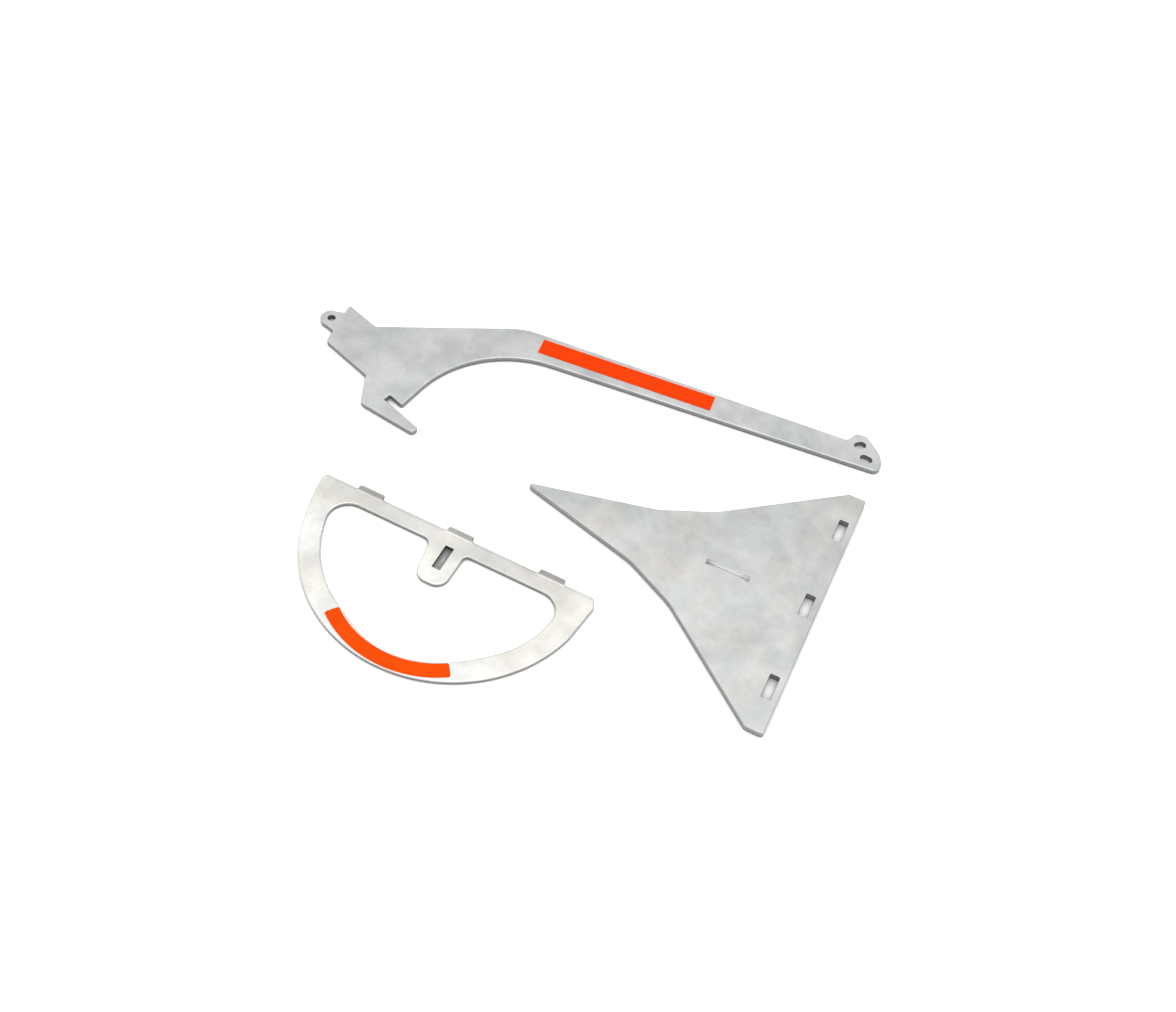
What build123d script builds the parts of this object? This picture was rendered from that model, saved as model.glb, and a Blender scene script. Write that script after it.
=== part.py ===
from build123d import *
import math
import os

os.makedirs("parts", exist_ok=True)

# Knock-down fluke anchor laid out as three loose flat plates, all millimetres, +Z up.
# Each plate is drawn in its own frame with its underside on z = 0, then turned and
# moved to its place on the ground.

# ---------------------------------------------------------------- plate gauges
FLUKE_T = 8.0
HOOP_T = 5.0
SHANK_T = 6.5
LABEL_T = 0.3
EDGE_R = 1.4           # tumbled outer edges
HOLE_EDGE_R = 0.5      # broken edges of holes and slots

# ---------------------------------------------------------------- layout on the ground
FLUKE_AT = (-9.409, 8.975)
FLUKE_YAW = 0.0
HOOP_AT = (-37.83, -78.328)
HOOP_YAW = -0.82
SHANK_AT = (-78.659, 190.725)
SHANK_YAW = 5.24

# ---------------------------------------------------------------- fluke plate
# tip at the origin, centre line along +X, straight rear edge at FLUKE_L
FLUKE_L = 312.4
WING_Y = 148.0
WING_X = 294.2         # where the slanting sides meet the short wing-end edges
SHOULDER_1 = (129.2, 34.1)
SHOULDER_2 = (181.8, 60.2)
CENTRE_SLOT_X = (195.4, 240.6)
CENTRE_SLOT_W = 7.2
CENTRE_SLOT_Y = 0.8
REAR_SLOT_X = (295.9, 305.4)
REAR_SLOT_LEN = 27.2
REAR_SLOT_PITCH = 99.5
REAR_SLOT_R = 1.5

# ---------------------------------------------------------------- hoop plate
# straight edge on y = 0, bow towards -Y
BOW_C = (1.0, -14.0)
BOW_R = 147.2
OPENING_LEFT = (-126.2, -17.4)      # left end of the bow's inner edge, at the bar
OPENING_HEADING = (0.034, -1.0)
OPENING_KNOTS = (                   # its inner edge is a chain of tangent arcs
    (-64.3, -120.3), (-33.0, -136.5), (8.0, -144.0), (58.4, -126.8), (95.1, -95.6),
    (116.0, -60.5), (120.0, -17.4),
)
BAR_W = 17.4
OPENING_R = 21.0
TONGUE_ROOT_X = (-22.8, 15.6)
TONGUE_END_X = (-16.0, 14.6)
TONGUE_END = 61.2
TONGUE_R = 13.0
TONGUE_ROOT_R = (8.0, 5.0)
TONGUE_SLOT_X = (-6.2, 2.7)
TONGUE_SLOT_Y = (-44.0, -16.3)
TAB_W = 26.6
TAB_ROOT_W = 30.0
TAB_BEND_START = 3.0
TAB_BEND_R = 3.0
TAB_BEND_ANGLE = 45.0
TAB_STRAIGHT = 3.7

# ---------------------------------------------------------------- shank plate
# straight beam along +X; the eye and the hook are at the -X end
EYE_C = (-220.5, -67.3)
EYE_R = 10.9
EYE_HOLE_C = (-219.5, -67.2)
EYE_HOLE_R = 4.2
NECK_Q = (-82.3, -55.2)
STOP_X = -210.3        # shoulders that stand against the hoop's tongue
END_HOLE_W = 8.6
END_HOLE_L = 13.2
END_HOLES = (((354.0, 1.6), 38.0), ((364.3, -13.5), -9.0))

# ---------------------------------------------------------------- labels
SHANK_LABEL = (-0.6, -20.1, 194.2, 0.0)
HOOP_LABEL_C = (2.6, -46.8)
HOOP_LABEL_RI = 98.8
HOOP_LABEL_RO = 113.3
HOOP_LABEL_SPAN = (-37.8, 35.3)


def rounded_outline(points):
    """Closed face from (x, y, corner radius) vertices."""
    n = len(points)
    starts, ends, mids = [], [], []
    for i, (x, y, r) in enumerate(points):
        p = Vector(x, y)
        a = Vector(*points[i - 1][:2])
        b = Vector(*points[(i + 1) % n][:2])
        if r <= 0:
            starts.append(p)
            ends.append(p)
            mids.append(None)
            continue
        u = (a - p).normalized()
        v = (b - p).normalized()
        half = math.acos(max(-1.0, min(1.0, u.dot(v)))) / 2
        reach = r / math.tan(half)
        centre = p + (u + v).normalized() * (r / math.sin(half))
        starts.append(p + u * reach)
        ends.append(p + v * reach)
        mids.append(centre + (p - centre).normalized() * r)
    edges = []
    for i in range(n):
        if mids[i] is not None:
            edges.append(Edge.make_three_point_arc(starts[i], mids[i], ends[i]))
        nxt = starts[(i + 1) % n]
        if (nxt - ends[i]).length > 1e-6:
            edges.append(Edge.make_line(ends[i], nxt))
    return Face(Wire(edges))


def prism(face, thickness, z0=0.0):
    return Pos(0, 0, z0) * extrude(face, amount=thickness, dir=(0, 0, 1))


def place(shape, at, yaw, z=0.0):
    return Pos(at[0], at[1], z) * Rot(0, 0, yaw) * shape


def soften(solid, thickness, radius, keep_sharp=None):
    """Round the long top and bottom edges of a flat plate's outside."""
    edges = solid.edges().filter_by(
        lambda e: all(abs(v.Z) < 1e-5 for v in e.vertices())
        or all(abs(v.Z - thickness) < 1e-5 for v in e.vertices())
    )
    if keep_sharp is not None:
        edges = edges.filter_by(lambda e: not keep_sharp(e))
    return fillet(edges, radius)


def break_edges(solid, thickness, radius, centre, reach):
    """Round the top and bottom rims of the hole or slot around a centre."""
    cx, cy = centre

    def on_rim(e):
        c = e.center()
        level = min(abs(v.Z) for v in e.vertices()) < 1e-5
        level = level or min(abs(v.Z - thickness) for v in e.vertices()) < 1e-5
        flat = abs(e.vertices()[0].Z - e.vertices()[-1].Z) < 1e-5
        return level and flat and math.hypot(c.X - cx, c.Y - cy) < reach

    return fillet(solid.edges().filter_by(on_rim), radius)


def fluke_plate():
    sx1, sy1 = SHOULDER_1
    sx2, sy2 = SHOULDER_2
    side = [
        (3.9, 1.3, 1.5),
        (sx1, sy1, 60.0),
        (sx2, sy2, 60.0),
        (WING_X, WING_Y, 3.0),
        (FLUKE_L, WING_Y, 2.5),
    ]
    mirror_side = [(x, -y, r) for x, y, r in reversed(side)]
    blank = prism(rounded_outline(side + mirror_side), FLUKE_T)
    body = soften(blank, FLUKE_T, EDGE_R)
    cx = sum(CENTRE_SLOT_X) / 2
    cl = CENTRE_SLOT_X[1] - CENTRE_SLOT_X[0]
    body -= Pos(cx, CENTRE_SLOT_Y, FLUKE_T / 2) * Box(cl, CENTRE_SLOT_W, FLUKE_T * 2)
    body = break_edges(body, FLUKE_T, HOLE_EDGE_R, (cx, CENTRE_SLOT_Y), cl)
    rx = sum(REAR_SLOT_X) / 2
    rw = REAR_SLOT_X[1] - REAR_SLOT_X[0]
    for k in (-1, 0, 1):
        slot = RectangleRounded(rw, REAR_SLOT_LEN, REAR_SLOT_R)
        body -= prism(Pos(rx, k * REAR_SLOT_PITCH) * slot, FLUKE_T * 2, -FLUKE_T / 2)
        spot = (rx, k * REAR_SLOT_PITCH)
        body = break_edges(body, FLUKE_T, HOLE_EDGE_R, spot, 15.0)
    return body


def hoop_outline():
    def on_bow(deg):
        a = math.radians(deg)
        return Vector(BOW_C[0] + BOW_R * math.cos(a), BOW_C[1] + BOW_R * math.sin(a))

    def along_bow(deg):
        a = math.radians(deg)
        return Vector(math.sin(a), -math.cos(a))

    edges = [
        Edge.make_line(Vector(-149.2, 0), Vector(144.6, 0)),
        Edge.make_line(Vector(144.6, 0), Vector(149.4, -9.0)),
        Edge.make_line(Vector(149.4, -9.0), on_bow(-14)),
        Edge.make_three_point_arc(on_bow(-14), on_bow(-86), on_bow(-159)),
        Edge.make_tangent_arc(on_bow(-159), along_bow(-159), Vector(-151.4, -5.5)),
        Edge.make_line(Vector(-151.4, -5.5), Vector(-149.2, 0)),
    ]
    face = Face(Wire(edges))
    shoulder = face.vertices().filter_by(lambda v: v.X > 0 and -60 < v.Y < -20)
    face = fillet(shoulder, 60.0)
    flares = face.vertices().filter_by(lambda v: -10 < v.Y < -5)
    face = fillet(flares, 2.5)
    corners = face.vertices().filter_by(lambda v: v.Y > -0.01)
    return fillet(corners, 1.7)


def hoop_opening():
    start = Vector(*OPENING_LEFT)
    heading = Vector(*OPENING_HEADING)
    edges = []
    for x, y in OPENING_KNOTS:
        arc = Edge.make_tangent_arc(start, heading, Vector(x, y))
        edges.append(arc)
        start = arc.position_at(1)
        heading = arc.tangent_at(1)
    edges.append(Edge.make_line(start, Vector(*OPENING_LEFT)))
    opening = Sketch() + Face(Wire(edges))
    corners = opening.vertices().filter_by(lambda v: abs(v.Y + BAR_W) < 0.01)
    opening = fillet(corners, OPENING_R)
    tongue = rounded_outline([
        (TONGUE_ROOT_X[0], -BAR_W, 0), (TONGUE_END_X[0], -TONGUE_END, TONGUE_R),
        (TONGUE_END_X[1], -TONGUE_END, TONGUE_R), (TONGUE_ROOT_X[1], -BAR_W, 0),
        (TONGUE_ROOT_X[1], 0, 0), (TONGUE_ROOT_X[0], 0, 0),
    ])
    opening -= tongue
    for x, r in zip(TONGUE_ROOT_X, TONGUE_ROOT_R):
        root = opening.vertices().filter_by(
            lambda v: abs(v.Y + BAR_W) < 0.01 and abs(v.X - x) < 1.0
        )
        opening = fillet(root, r)
    return opening


def bent_tab():
    """One tab: the plate edge turned upwards along the straight edge."""
    a = math.radians(TAB_BEND_ANGLE)
    cy = -TAB_BEND_START
    cz = HOOP_T + TAB_BEND_R
    ro = TAB_BEND_R + HOOP_T
    ri = TAB_BEND_R

    def arc_pt(r, ang):
        return Vector(0, cy + r * math.sin(ang), cz - r * math.cos(ang))

    run = Vector(0, math.cos(a), math.sin(a)) * TAB_STRAIGHT
    o0, om, o1 = arc_pt(ro, 0), arc_pt(ro, a / 2), arc_pt(ro, a)
    i0, im, i1 = arc_pt(ri, 0), arc_pt(ri, a / 2), arc_pt(ri, a)
    back = Vector(0, -1.0, 0)
    section = Face(Wire([
        Edge.make_line(o0 + back, o0),
        Edge.make_three_point_arc(o0, om, o1),
        Edge.make_line(o1, o1 + run),
        Edge.make_line(o1 + run, i1 + run),
        Edge.make_line(i1 + run, i1),
        Edge.make_three_point_arc(i1, im, i0),
        Edge.make_line(i0, i0 + back),
        Edge.make_line(i0 + back, o0 + back),
    ]))
    tab = extrude(section, amount=TAB_ROOT_W / 2, dir=(1, 0, 0), both=True)
    w, rw = TAB_W / 2, TAB_ROOT_W / 2
    plan = rounded_outline([
        (-rw, cy - 1.0, 0), (rw, cy - 1.0, 0), (rw, -1.6, 0), (w, 0.0, 0),
        (w, 12.0, 0), (-w, 12.0, 0), (-w, 0.0, 0), (-rw, -1.6, 0),
    ])
    tab &= prism(plan, 40, -10)
    end_dir = Vector(0, math.cos(a), math.sin(a))
    tips = tab.edges().filter_by(
        lambda e: abs(e.length - HOOP_T) < 0.01
        and (e.center() - (o1 + run)).dot(end_dir) > -0.01
    )
    return fillet(tips, 1.6)


def hoop_plate():
    blank = prism(hoop_outline(), HOOP_T) - prism(hoop_opening(), HOOP_T * 3, -HOOP_T)
    body = soften(blank, HOOP_T, EDGE_R)
    cy = sum(TONGUE_SLOT_Y) / 2
    ln = TONGUE_SLOT_Y[1] - TONGUE_SLOT_Y[0]
    cx = sum(TONGUE_SLOT_X) / 2
    wide = TONGUE_SLOT_X[1] - TONGUE_SLOT_X[0]
    body -= Pos(cx, cy, HOOP_T / 2) * Box(wide, ln, HOOP_T * 2)
    body = break_edges(body, HOOP_T, HOLE_EDGE_R, (cx, cy), 14.5)
    tab = bent_tab()
    for k in (-1, 0, 1):
        x = k * REAR_SLOT_PITCH
        body -= Pos(x, 10 - TAB_BEND_START, HOOP_T / 2) * Box(TAB_ROOT_W, 20, HOOP_T * 2)
        body += Pos(x, 0, 0) * tab
    return body


def obround(centre, length, width, angle):
    return Pos(*centre) * Rot(0, 0, angle) * SlotOverall(length, width)


def shank_plate():
    outline = rounded_outline([
        (STOP_X, -42.2, 1.7),            # upper stop shoulder
        (-172.0, -58.6, 5.0),
        (-25.5, 6.4, 70.0),              # back of the beam
        (340.0, 3.3, 6.0),
        (346.8, 15.7, 4.0),              # raised end with the two holes
        (358.0, 16.3, 4.5),
        (375.5, 0.0, 30.0),
        (381.2, -13.0, 20.0),
        (380.2, -25.6, 7.5),
        (-68.6, -31.7, 118.0),           # long concave underside
        (-101.8, -146.5, 1.6),           # front of the sole
        (-118.2, -139.2, 0.6),           # notch for the fluke plate
        (-121.5, -146.6, 0.6),
        (-74.1, -167.5, 2.2),            # hook
        (-78.0, -174.9, 2.2),
        (-141.6, -160.6, 6.5),
        (-152.6, -124.1, 0.8),
        (STOP_X, -98.6, 4.5),            # rear of the sole
    ])
    q0, q1 = NECK_Q
    ex, ey = EYE_C
    neck = rounded_outline([
        (STOP_X + 4, q0, 0), (STOP_X + 4, q1 + 1.0, 0), (STOP_X, q1 + 1.0, 0),
        (ex, ey + EYE_R, 0), (ex, ey - EYE_R, 0), (STOP_X, q0, 0),
    ])
    blank = prism(outline, SHANK_T) + prism(neck, SHANK_T)
    blank += prism(Pos(ex, ey) * Circle(EYE_R), SHANK_T)
    body = soften(blank.clean(), SHANK_T, EDGE_R)
    body -= prism(Pos(*EYE_HOLE_C) * Circle(EYE_HOLE_R), SHANK_T * 2, -SHANK_T / 2)
    body = break_edges(body, SHANK_T, HOLE_EDGE_R, EYE_HOLE_C, 5.0)
    for centre, angle in END_HOLES:
        hole = obround(centre, END_HOLE_L, END_HOLE_W, angle)
        body -= prism(hole, SHANK_T * 2, -SHANK_T / 2)
        body = break_edges(body, SHANK_T, HOLE_EDGE_R, centre, 7.5)
    return body


def shank_label():
    x0, y0, x1, y1 = SHANK_LABEL
    face = Pos((x0 + x1) / 2, (y0 + y1) / 2) * RectangleRounded(x1 - x0, y1 - y0, 0.8)
    return prism(face, LABEL_T, SHANK_T)


def hoop_label():
    ring = Circle(HOOP_LABEL_RO) - Circle(HOOP_LABEL_RI)
    a0, a1 = (math.radians(a) for a in HOOP_LABEL_SPAN)
    reach = 400.0
    wedge = Face(Wire.make_polygon(
        [(0, 0), (reach * math.sin(a0), -reach * math.cos(a0)),
         (reach * math.sin(a1), -reach * math.cos(a1))], close=True))
    face = ring & wedge
    face = fillet(face.vertices(), 2.4)
    return prism(Pos(*HOOP_LABEL_C) * face, LABEL_T, HOOP_T)


NODES = {
    "fluke_plate": place(fluke_plate(), FLUKE_AT, FLUKE_YAW),
    "hoop_plate": place(hoop_plate(), HOOP_AT, HOOP_YAW),
    "hoop_label": place(hoop_label(), HOOP_AT, HOOP_YAW),
    "shank_plate": place(shank_plate(), SHANK_AT, SHANK_YAW),
    "shank_label": place(shank_label(), SHANK_AT, SHANK_YAW),
}

for name, shape in NODES.items():
    export_step(shape, f"parts/{name}.step")
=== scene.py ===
import math

import bpy
from mathutils import Matrix, Vector


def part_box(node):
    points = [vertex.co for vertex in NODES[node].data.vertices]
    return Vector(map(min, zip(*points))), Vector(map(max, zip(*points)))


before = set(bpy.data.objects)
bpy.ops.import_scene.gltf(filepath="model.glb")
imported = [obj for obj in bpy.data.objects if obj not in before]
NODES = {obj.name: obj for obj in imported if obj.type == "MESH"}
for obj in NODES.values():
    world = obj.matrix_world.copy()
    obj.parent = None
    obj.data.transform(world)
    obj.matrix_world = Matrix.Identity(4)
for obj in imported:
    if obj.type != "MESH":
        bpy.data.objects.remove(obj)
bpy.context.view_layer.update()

# ------------------------------------------------------------------ camera
VIEW_YAW = 17.56            # degrees, the camera's heading off +Y
VIEW_ELEVATION = 53.81      # degrees above the ground
VIEW_ROLL = 9.43            # degrees, the camera's tilt about its own axis
VIEW_DISTANCE = 1.388       # metres to the point in the picture's middle
FOCAL_LENGTH = 42.94        # millimetres
SENSOR_WIDTH = 36.0         # millimetres
FLUKE_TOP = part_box("fluke_plate")[1].z
LOOK_AT = Vector((0.056711, 0.012455, FLUKE_TOP))

# ------------------------------------------------------------------ surroundings
FLOOR_Z = -0.0002
FLOOR_SIZE = 12.0
FLOOR_PAINTED_GLOW = 0.35           # painted light: the floor's own faint glow, which keeps the open floor white
SKY_LOW = 0.42              # brightness near the horizon
SKY_HIGH = 1.12             # brightness overhead
SKY_AWAY = 0.14             # how much brighter the far side is than the camera's side
OVERHEAD_PLACE = (0.1, -0.15, 2.0)
OVERHEAD_SIZE = (1.8, 1.8)
OVERHEAD_WATTS = 10.0
NOOK_REACH = 0.012          # how near a plate has to be to shade the floor

# ------------------------------------------------------------------ plates
FLUKE_GAUGE = 0.008
SHANK_GAUGE = 0.0065
HOOP_GAUGE = 0.005
CENTRE_SLOT_Y = 0.0098      # middle line of the fluke's centre slot
CENTRE_SLOT_GAIN = 3.6      # painted light: how much lighter its walls are than the plate's outer walls
HOOP_BEND = (-0.0378, -0.0783)      # middle of the line where the hoop's tabs begin
HOOP_BEND_SLOPE = 0.0143            # that line's fall towards +X
TONGUE_SLOT = (-0.0399, -0.1085)    # middle of the slot in the hoop's tongue

# ------------------------------------------------------------------ finishes
FLUKE_FACE = (0.545, 0.56, 0.56, 1), (0.59, 0.582, 0.565, 1)     # cool and warm patches
SHANK_FACE = (0.575, 0.59, 0.59, 1), (0.605, 0.605, 0.6, 1)
HOOP_FACE = (0.77, 0.765, 0.74, 1), (0.785, 0.77, 0.725, 1)
# Wall colours: darker partly by the cut walls' own duller finish, partly by painted shade.
FLUKE_WALL = (0.33, 0.333, 0.333, 1)
SHANK_WALL = (0.285, 0.288, 0.288, 1)
HOOP_WALL = (0.26, 0.26, 0.256, 1)
HOOP_ORANGE = (0.93, 0.08, 0.002, 1)
SHANK_ORANGE = (0.93, 0.055, 0.002, 1)


def look_camera():
    yaw, tilt, roll = (math.radians(a) for a in (VIEW_YAW, VIEW_ELEVATION, VIEW_ROLL))
    ahead = Vector((-math.sin(yaw) * math.cos(tilt), math.cos(yaw) * math.cos(tilt), -math.sin(tilt)))
    level = Vector((math.cos(yaw), math.sin(yaw), 0.0))
    up = level.cross(ahead)
    right = math.cos(roll) * level + math.sin(roll) * up
    top = -math.sin(roll) * level + math.cos(roll) * up
    data = bpy.data.cameras.new("camera")
    data.lens = FOCAL_LENGTH
    data.sensor_width = SENSOR_WIDTH
    data.clip_start, data.clip_end = 0.01, 50.0
    cam = bpy.data.objects.new("camera", data)
    bpy.context.scene.collection.objects.link(cam)
    turn = Matrix((right, top, -ahead)).transposed()
    cam.matrix_world = Matrix.Translation(LOOK_AT - VIEW_DISTANCE * ahead) @ turn.to_4x4()
    bpy.context.scene.camera = cam


# ------------------------------------------------------------------ node helpers
class Tree:
    """A node tree with short calls for the nodes used here."""

    def __init__(self, tree):
        self.tree = tree
        self.coords = tree.nodes.new("ShaderNodeTexCoord")
        self.place = self.coords.outputs["Object"]
        self.facing = self.coords.outputs["Normal"]

    def put(self, socket, value):
        if isinstance(value, bpy.types.NodeSocket):
            self.tree.links.new(value, socket)
        else:
            socket.default_value = value

    def mapped(self, scale=(1, 1, 1), turn=0.0, shift=(0, 0, 0)):
        n = self.tree.nodes.new("ShaderNodeMapping")
        self.put(n.inputs["Vector"], self.place)
        n.inputs["Scale"].default_value = scale
        n.inputs["Rotation"].default_value = (0, 0, turn)
        n.inputs["Location"].default_value = shift
        return n.outputs["Vector"]

    def noise(self, scale, detail=3.0, rough=0.55, vector=None, distort=0.0):
        n = self.tree.nodes.new("ShaderNodeTexNoise")
        self.put(n.inputs["Vector"], vector if vector is not None else self.place)
        n.inputs["Scale"].default_value = scale
        n.inputs["Detail"].default_value = detail
        n.inputs["Roughness"].default_value = rough
        n.inputs["Distortion"].default_value = distort
        return n.outputs["Fac"]

    def remap(self, value, lo, hi, to_lo, to_hi, smooth=False):
        n = self.tree.nodes.new("ShaderNodeMapRange")
        n.interpolation_type = "SMOOTHSTEP" if smooth else "LINEAR"
        self.put(n.inputs["Value"], value)
        for key, v in zip(("From Min", "From Max", "To Min", "To Max"), (lo, hi, to_lo, to_hi)):
            self.put(n.inputs[key], v)
        return n.outputs["Result"]

    def maths(self, op, a, b=0.0):
        n = self.tree.nodes.new("ShaderNodeMath")
        n.operation = op
        self.put(n.inputs[0], a)
        self.put(n.inputs[1], b)
        return n.outputs[0]

    def mix(self, factor, a, b):
        n = self.tree.nodes.new("ShaderNodeMix")
        n.data_type = "RGBA"
        self.put(n.inputs[0], factor)
        self.put(n.inputs[6], a)
        self.put(n.inputs[7], b)
        return n.outputs[2]

    def tint(self, colour, factor):
        """colour times a grey factor."""
        n = self.tree.nodes.new("ShaderNodeVectorMath")
        n.operation = "SCALE"
        self.put(n.inputs[0], colour if isinstance(colour, bpy.types.NodeSocket) else colour[:3])
        self.put(n.inputs["Scale"], factor)
        return n.outputs[0]

    def axis(self, vector, which):
        n = self.tree.nodes.new("ShaderNodeSeparateXYZ")
        self.put(n.inputs[0], vector)
        return n.outputs[which]

    def bump(self, height, strength, distance):
        n = self.tree.nodes.new("ShaderNodeBump")
        n.inputs["Strength"].default_value = strength
        n.inputs["Distance"].default_value = distance
        self.put(n.inputs["Height"], height)
        return n.outputs["Normal"]


def new_material(name):
    mat = bpy.data.materials.new(name)
    mat.use_nodes = True
    return mat, Tree(mat.node_tree), mat.node_tree.nodes["Principled BSDF"]


def scratches(t, seed):
    """Short fine handling marks in a few directions, 0 to 1."""
    total = None
    for k, turn in enumerate((0.35, 1.5, 2.45)):
        streak = t.noise(1.0, 2.0, 0.5, t.mapped((45.0, 1500.0, 45.0), turn, (seed + k, 3.0 * k, seed)), 0.3)
        mark = t.remap(streak, 0.66, 0.74, 0.0, 1.0)
        total = mark if total is None else t.maths("MAXIMUM", total, mark)
    return total


def aluminium(name, face_tones, wall, seed, gauge, shade=None, wall_painted_light=None):
    """Tumbled cut plate: cloudy satin faces, rounded edges with painted highlight and shade, and cut walls
    with fine lines, darker partly by their duller finish and partly by painted shade.
    """
    cool, warm = face_tones
    mat, t, shader = new_material(name)
    drift = t.mapped(shift=(seed, seed * 0.7, 0.0))
    clouds = t.noise(15.0, 5.0, 0.62, drift, 0.5)
    patches = t.noise(48.0, 4.0, 0.6, drift, 0.3)
    hue = t.noise(21.0, 2.0, 0.5, t.mapped(shift=(0.0, seed, seed)), 0.2)
    speck = t.noise(420.0, 4.0, 0.65)
    grain = t.noise(1500.0, 3.0, 0.6)
    marks = scratches(t, seed)

    tone = t.maths("ADD", t.maths("MULTIPLY", clouds, 0.6), t.maths("MULTIPLY", patches, 0.4))
    tone = t.remap(tone, 0.38, 0.62, 0.85, 1.11)
    tone = t.maths("MULTIPLY", tone, t.remap(speck, 0.3, 0.7, 0.965, 1.03))
    tone = t.maths("MULTIPLY", tone, t.remap(marks, 0.0, 1.0, 1.0, 1.06))
    if shade is not None:
        tone = t.maths("MULTIPLY", tone, shade(t))
    face = t.tint(t.mix(t.remap(hue, 0.4, 0.6, 0.0, 1.0), cool, warm), tone)

    lines = t.noise(1.0, 3.0, 0.6, t.mapped((1100.0, 1100.0, 50.0)))
    # Painted shade: the walls darken towards the floor.
    foot_painted_shade = t.remap(t.axis(t.place, "Z"), 0.0, gauge * 0.55, 0.62, 1.0, True)
    side = t.tint(wall, t.maths("MULTIPLY", foot_painted_shade, t.remap(lines, 0.3, 0.7, 0.82, 1.14)))
    # painted light on the walls inside a slot, where one is given
    if wall_painted_light is not None:
        side = t.tint(side, wall_painted_light(t))

    flat = t.remap(t.axis(t.facing, "Z"), 0.08, 0.5, 0.0, 1.0, True)
    flat = t.maths("MAXIMUM", flat, t.remap(t.axis(t.facing, "Z"), -0.5, -0.9, 0.0, 1.0, True))
    # Painted highlight on rounded edges that face -Y, painted shade on those that face +Y.
    rim = t.maths("MULTIPLY", t.remap(t.axis(t.facing, "Z"), 0.995, 0.93, 0.0, 1.0, True),
                  t.remap(t.axis(t.facing, "Z"), 0.3, 0.6, 0.0, 1.0, True))
    edge_painted_highlight = t.remap(t.axis(t.facing, "Y"), -0.35, 0.35, 1.16, 0.86)
    face = t.tint(face, t.remap(rim, 0.0, 1.0, 1.0, edge_painted_highlight))
    t.put(shader.inputs["Base Color"], t.mix(flat, side, face))
    shader.inputs["Metallic"].default_value = 1.0
    rough = t.maths("ADD", t.remap(clouds, 0.35, 0.65, 0.4, 0.47), t.remap(speck, 0.3, 0.7, -0.02, 0.03))
    rough = t.maths("SUBTRACT", rough, t.maths("MULTIPLY", marks, 0.08))
    t.put(shader.inputs["Roughness"], t.remap(flat, 0.0, 1.0, 0.56, rough))
    relief = t.maths("ADD", t.maths("MULTIPLY", grain, 0.5), t.maths("MULTIPLY", speck, 0.5))
    relief = t.maths("SUBTRACT", relief, t.maths("MULTIPLY", marks, 0.35))
    relief = t.mix(flat, lines, relief)
    t.put(shader.inputs["Normal"], t.bump(relief, 0.22, 0.0003))
    return mat


def hoop_painted_shade(t):
    """Painted shade: the bar is greyer than the bow, the tabs greyer still, and the tone falls towards +X.
    """
    x, y = (t.axis(t.place, k) for k in "XY")
    slant = t.maths("MULTIPLY", t.maths("ADD", x, -HOOP_BEND[0]), HOOP_BEND_SLOPE)
    depth = t.maths("ADD", t.maths("ADD", y, -HOOP_BEND[1]), slant)
    # painted shade on the bar, fading back to full tone at its right end
    bar = t.remap(depth, -0.042, -0.012, 1.0, 0.86, True)
    right_end = t.remap(x, 0.072, 0.1, 0.0, 1.0, True)
    bar = t.remap(right_end, 0.0, 1.0, bar, 1.0)
    # painted shade on the bent tabs, darker towards their outer edge
    tab_painted_shade = t.remap(depth, -0.0045, 0.0045, 1.0, 0.6)
    # painted shade: the tone falls towards +X
    painted_sweep = t.remap(x, -0.185, 0.11, 1.075, 0.945)
    return t.maths("MULTIPLY", t.maths("MULTIPLY", bar, tab_painted_shade), painted_sweep)


def centre_slot_painted_light(t):
    """Painted light: the walls inside the fluke's centre slot are made lighter than the outer walls."""
    x, y = (t.axis(t.place, k) for k in "XY")
    across = t.maths("ABSOLUTE", t.maths("ADD", y, -CENTRE_SLOT_Y))
    inside = t.maths("MULTIPLY", t.remap(across, 0.008, 0.006, 0.0, 1.0),
                     t.remap(x, 0.184, 0.187, 0.0, 1.0))
    inside = t.maths("MULTIPLY", inside, t.remap(x, 0.234, 0.236, 1.0, 0.0))
    return t.remap(inside, 0.0, 1.0, 1.0, CENTRE_SLOT_GAIN)


def vinyl(name, colour):
    """Printed label film with a faint unevenness."""
    mat, t, shader = new_material(name)
    soft = t.noise(30.0, 3.0, 0.5)
    fine = t.noise(650.0, 3.0, 0.5)
    tone = t.maths("MULTIPLY", t.remap(soft, 0.35, 0.65, 0.94, 1.03), t.remap(fine, 0.3, 0.7, 0.975, 1.02))
    t.put(shader.inputs["Base Color"], t.tint(colour, tone))
    t.put(shader.inputs["Roughness"], t.remap(fine, 0.3, 0.7, 0.46, 0.56))
    shader.inputs["Specular IOR Level"].default_value = 0.03
    t.put(shader.inputs["Normal"], t.bump(fine, 0.12, 0.0002))
    return mat


def tongue_slot_painted_shade(t, closed):
    """The floor seen through the slot in the hoop's tongue gets painted deep shade."""
    x, y = (t.axis(t.place, k) for k in "XY")
    across = t.maths("ABSOLUTE", t.maths("ADD", x, -TONGUE_SLOT[0]))
    along = t.maths("ABSOLUTE", t.maths("ADD", y, -TONGUE_SLOT[1]))
    near = t.maths("MULTIPLY", t.remap(across, 0.007, 0.0055, 0.0, 1.0),
                   t.remap(along, 0.0165, 0.015, 0.0, 1.0))
    under = t.maths("MULTIPLY", near, t.remap(closed, 0.85, 0.75, 0.0, 1.0))
    depth = t.remap(y, -0.122, -0.095, 0.42, 0.26)
    return t.remap(under, 0.0, 1.0, 1.0, depth)


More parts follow.
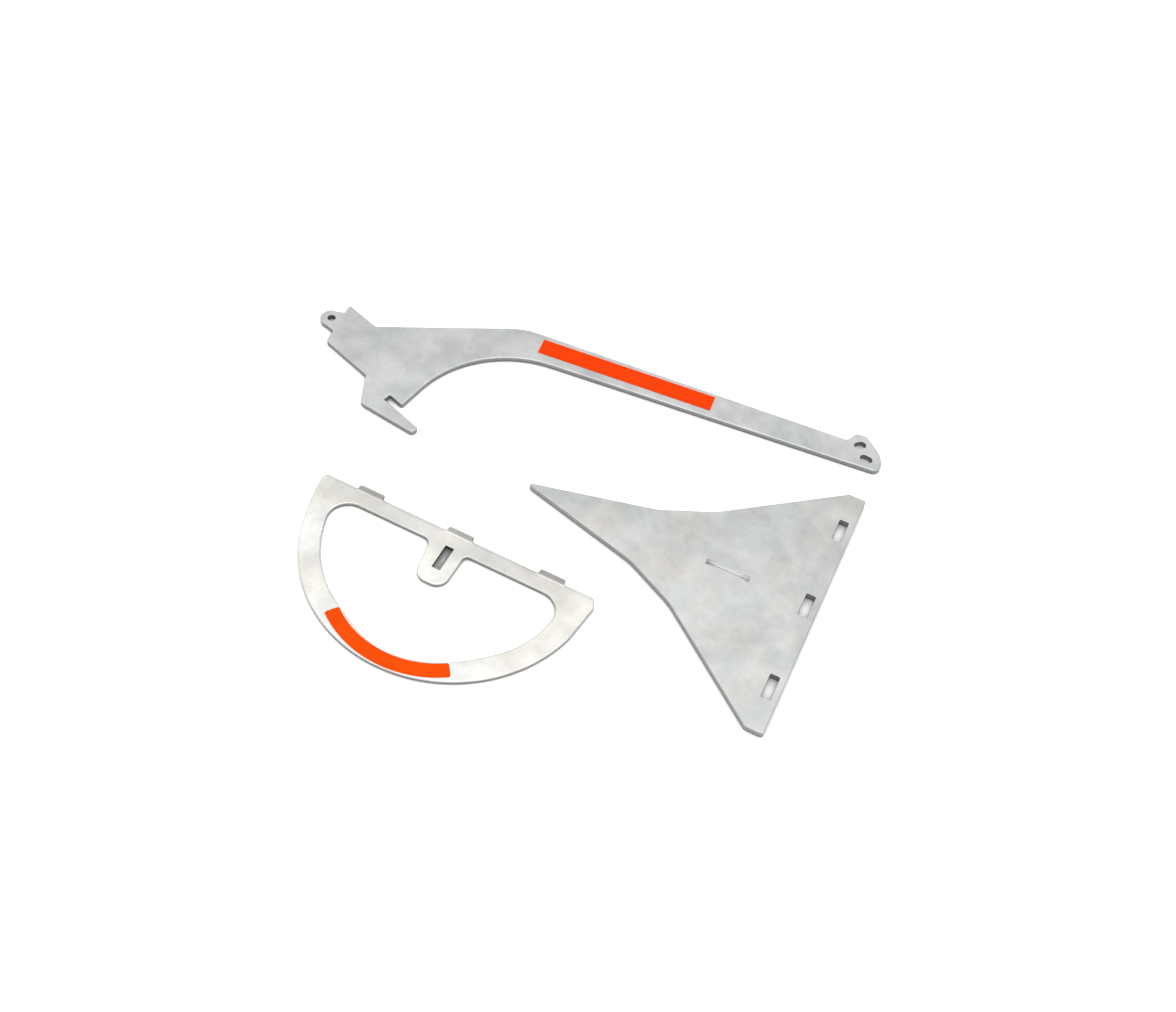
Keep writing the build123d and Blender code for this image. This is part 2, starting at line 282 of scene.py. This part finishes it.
def floor_material():
    """White paper, shaded where a plate covers it, with a faint glow where it is open."""
    mat, t, shader = new_material("studio_floor")
    n = t.noise(3.0, 2.0, 0.5)
    paper = t.mix(t.remap(n, 0.3, 0.7, 0.0, 1.0), (0.93, 0.93, 0.93, 1), (0.95, 0.95, 0.95, 1))
    nook = t.tree.nodes.new("ShaderNodeAmbientOcclusion")
    nook.inputs["Distance"].default_value = NOOK_REACH
    nook.samples = 8
    closed = nook.outputs["AO"]
    # Painted shade and shadow on the floor near and under the plates, and inside their slots.
    floor_painted_shade = t.maths("MULTIPLY", t.remap(closed, 0.1, 0.45, 0.42, 1.0), tongue_slot_painted_shade(t, closed))
    t.put(shader.inputs["Base Color"], t.tint(paper, floor_painted_shade))
    shader.inputs["Emission Color"].default_value = (1.0, 1.0, 1.0, 1.0)
    # Painted light: the floor glows where it is open, and the glow fades out near and under the plates.
    glow = t.remap(closed, 0.5, 0.64, 0.0, FLOOR_PAINTED_GLOW, True)
    glow = t.maths("MULTIPLY", glow, t.remap(floor_painted_shade, 0.7, 1.0, 0.0, 1.0))
    t.put(shader.inputs["Emission Strength"], glow)
    shader.inputs["Roughness"].default_value = 0.9
    shader.inputs["Specular IOR Level"].default_value = 0.0
    return mat


def dress(node, mat):
    ob = NODES[node]
    ob.data.materials.clear()
    ob.data.materials.append(mat)


def softbox(name, place, aim, size, watts):
    data = bpy.data.lights.new(name, "AREA")
    data.shape = "RECTANGLE"
    data.size, data.size_y = size
    data.energy = watts
    ob = bpy.data.objects.new(name, data)
    ob.location = place
    ob.rotation_mode = "QUATERNION"
    ob.rotation_quaternion = (Vector(aim) - Vector(place)).to_track_quat("-Z", "Y")
    bpy.context.scene.collection.objects.link(ob)


def studio():
    """White floor under a soft white tent that is brightest overhead."""
    scene = bpy.context.scene
    world = bpy.data.worlds.new("studio")
    world.use_nodes = True
    world.node_tree.nodes.clear()
    t = Tree(world.node_tree)
    out = t.tree.nodes.new("ShaderNodeOutputWorld")
    tent = t.tree.nodes.new("ShaderNodeBackground")
    way = t.coords.outputs["Generated"]
    level = t.remap(t.axis(way, "Z"), 0.0, 1.0, SKY_LOW, SKY_HIGH)
    level = t.maths("ADD", level, t.remap(t.axis(way, "Y"), -1.0, 1.0, -SKY_AWAY, SKY_AWAY))
    t.put(tent.inputs["Strength"], level)
    tent.inputs["Color"].default_value = (1.0, 1.0, 1.0, 1.0)
    t.put(out.inputs["Surface"], tent.outputs[0])
    scene.world = world

    bpy.ops.mesh.primitive_plane_add(size=FLOOR_SIZE, location=(0, 0, FLOOR_Z))
    floor = bpy.context.object
    floor.name = "studio_floor"
    floor.data.materials.append(floor_material())

    softbox("overhead", OVERHEAD_PLACE, (0, 0, 0), OVERHEAD_SIZE, OVERHEAD_WATTS)
    scene.view_settings.view_transform = "Standard"
    scene.view_settings.look = "None"


look_camera()
studio()

fluke_finish = aluminium("fluke_aluminium", FLUKE_FACE, FLUKE_WALL, 0.0, FLUKE_GAUGE,
                         wall_painted_light=centre_slot_painted_light)
shank_finish = aluminium("shank_aluminium", SHANK_FACE, SHANK_WALL, 3.1, SHANK_GAUGE)
hoop_finish = aluminium("hoop_aluminium", HOOP_FACE, HOOP_WALL, 6.7, HOOP_GAUGE, shade=hoop_painted_shade)
dress("fluke_plate", fluke_finish)
dress("shank_plate", shank_finish)
dress("hoop_plate", hoop_finish)
dress("hoop_label", vinyl("hoop_label_orange", HOOP_ORANGE))
dress("shank_label", vinyl("shank_label_orange", SHANK_ORANGE))
